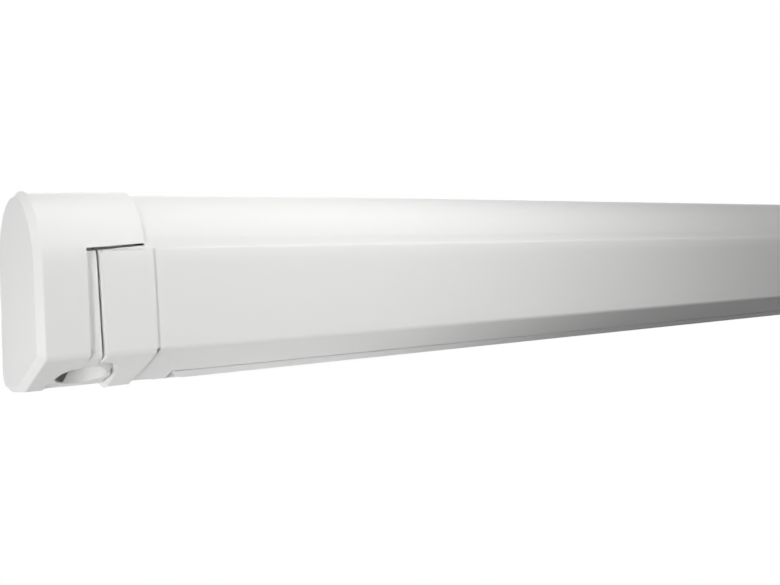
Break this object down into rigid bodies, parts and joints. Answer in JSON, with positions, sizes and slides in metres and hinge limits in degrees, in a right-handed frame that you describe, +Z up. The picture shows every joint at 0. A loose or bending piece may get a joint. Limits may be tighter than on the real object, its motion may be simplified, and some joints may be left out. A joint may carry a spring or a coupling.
{
  "type": "roll out awning",
  "caption": "Closed cassette awning for a vehicle wall: white domed casing and lead rail, folding arms, geared fabric roller with a crank eye, and folding support legs.",
  "frame": {"origin": "centre of the middle wall bracket's bolt pattern, on the wall plane", "axes": "+X along the wall towards the end without the crank, -Y out from the wall to the front, +Z up"},
  "size_m": [2.6, 0.103, 0.128],
  "materials": {
    "powder_white": "satin powder coat",
    "cap_white": "satin moulded",
    "housing_white": "moulded",
    "zinc_steel": "zinc plated",
    "screw_steel": "zinc plated",
    "cast_grey": "cast, painted",
    "arm_white": "satin powder coat",
    "raw_aluminium": "mill finish",
    "drive_black": "moulded",
    "awning_cloth": "coated polyester weave",
    "collar_grey": "moulded",
    "foot_rubber": "matt"
  },
  "bodies": {
    "casing": {"casing_profile": "powder_white", "left_end_cap": "cap_white", "right_end_cap": "cap_white", "gear_housing": "housing_white", "idle_housing": "housing_white", "wall_brackets": "zinc_steel", "bracket_screws": "screw_steel", "left_shoulder_bracket": "cast_grey", "right_shoulder_bracket": "cast_grey", "shoulder_pins": "screw_steel", "shoulder_screws": "screw_steel", "fabric_sheet": "awning_cloth"},
    "roller": {"roller_tube": "raw_aluminium", "fabric_roll": "awning_cloth", "worm_wheel": "drive_black", "drive_plug": "drive_black", "idle_plug": "drive_black"},
    "crank": {"worm_shaft": "screw_steel", "crank_eye": "screw_steel"},
    "lead_rail": {"lead_rail_profile": "powder_white", "left_rail_cap": "cap_white", "right_rail_cap": "cap_white", "left_wrist_bracket": "cast_grey", "right_wrist_bracket": "cast_grey", "wrist_pins": "screw_steel", "wrist_screws": "screw_steel", "front_keder": "awning_cloth", "leg_hangers": "cast_grey", "leg_pins": "screw_steel"},
    "fabric_front": {"fabric_hem": "awning_cloth"},
    "left_upper_arm": {"left_upper_tube": "arm_white", "left_shoulder_eye": "cast_grey", "left_elbow_fork": "cast_grey", "left_elbow_pin": "screw_steel", "left_arm_spring": "screw_steel"},
    "left_forearm": {"left_fore_tube": "arm_white", "left_elbow_tongue": "cast_grey", "left_wrist_eye": "cast_grey"},
    "left_leg": {"left_leg_tube": "arm_white", "left_leg_eye": "cast_grey", "left_leg_collar": "collar_grey"},
    "left_leg_lock": {"left_leg_lever": "collar_grey"},
    "left_leg_foot_tube": {"left_leg_inner": "raw_aluminium", "left_leg_foot": "foot_rubber"},
    "right_upper_arm": {"right_upper_tube": "arm_white", "right_shoulder_eye": "cast_grey", "right_elbow_fork": "cast_grey", "right_elbow_pin": "screw_steel", "right_arm_spring": "screw_steel"},
    "right_forearm": {"right_fore_tube": "arm_white", "right_elbow_tongue": "cast_grey", "right_wrist_eye": "cast_grey"},
    "right_leg": {"right_leg_tube": "arm_white", "right_leg_eye": "cast_grey", "right_leg_collar": "collar_grey"},
    "right_leg_lock": {"right_leg_lever": "collar_grey"},
    "right_leg_foot_tube": {"right_leg_inner": "raw_aluminium", "right_leg_foot": "foot_rubber"}
  },
  "joints": [
    {"name": "left_shoulder", "type": "hinge", "parent": "casing", "child": "left_upper_arm", "pos_m": [-1.18, -0.027, -0.006], "axis": [0, 0, -1], "range_deg": [0, 68]},
    {"name": "left_elbow", "type": "hinge", "parent": "left_upper_arm", "child": "left_forearm", "pos_m": [-0.1, -0.04, -0.006], "axis": [0, 0, -1], "range_deg": [-136, 0]},
    {"name": "left_wrist", "type": "hinge", "parent": "left_forearm", "child": "lead_rail", "pos_m": [-1.18, -0.053, -0.006], "axis": [0, 0, -1], "range_deg": [0, 68]},
    {"name": "right_shoulder", "type": "hinge", "parent": "casing", "child": "right_upper_arm", "pos_m": [1.18, -0.027, -0.006], "axis": [0, 0, 1], "range_deg": [0, 68]},
    {"name": "right_elbow", "type": "hinge", "parent": "right_upper_arm", "child": "right_forearm", "pos_m": [0.1, -0.04, -0.006], "axis": [0, 0, 1], "range_deg": [-136, 0]},
    {"name": "fabric_feed", "type": "slide", "parent": "casing", "child": "fabric_front", "axis": [0, -1, 0], "range_m": [0, 1.9867], "deforming": ["fabric_sheet"]},
    {"name": "roller_turn", "type": "hinge", "parent": "casing", "child": "roller", "pos_m": [0, -0.05, 0.04], "axis": [-1, 0, 0], "continuous": true},
    {"name": "crank_turn", "type": "hinge", "parent": "casing", "child": "crank", "pos_m": [-1.268, -0.071, 0.04], "axis": [0, 0, -1], "continuous": true},
    {"name": "left_leg_swing", "type": "hinge", "parent": "lead_rail", "child": "left_leg", "pos_m": [-1.19, -0.05275, -0.0335], "axis": [0, 1, 0], "range_deg": [0, 90]},
    {"name": "left_leg_extend", "type": "slide", "parent": "left_leg", "child": "left_leg_foot_tube", "axis": [1, 0, 0], "range_m": [0, 0.9]},
    {"name": "left_leg_lock", "type": "hinge", "parent": "left_leg", "child": "left_leg_lock", "pos_m": [-0.06, -0.05275, -0.0441], "axis": [0, -1, 0], "range_deg": [0, 100]},
    {"name": "right_leg_swing", "type": "hinge", "parent": "lead_rail", "child": "right_leg", "pos_m": [1.19, -0.03525, -0.0335], "axis": [0, -1, 0], "range_deg": [0, 90]},
    {"name": "right_leg_extend", "type": "slide", "parent": "right_leg", "child": "right_leg_foot_tube", "axis": [-1, 0, 0], "range_m": [0, 0.9]},
    {"name": "right_leg_lock", "type": "hinge", "parent": "right_leg", "child": "right_leg_lock", "pos_m": [0.06, -0.03525, -0.0441], "axis": [0, 1, 0], "range_deg": [0, 100]}
  ],
  "couplings": [
    {"joint": "left_elbow", "follows": "left_shoulder", "ratio": -2},
    {"joint": "left_wrist", "follows": "left_shoulder", "ratio": 1},
    {"joint": "right_shoulder", "follows": "left_shoulder", "ratio": 1},
    {"joint": "right_elbow", "follows": "left_shoulder", "ratio": -2},
    {"joint": "fabric_feed", "follows": "left_shoulder", "m_per_rad": 1.6738},
    {"joint": "roller_turn", "follows": "left_shoulder", "ratio": 68.824},
    {"joint": "crank_turn", "follows": "left_shoulder", "ratio": 825.88}
  ]
}
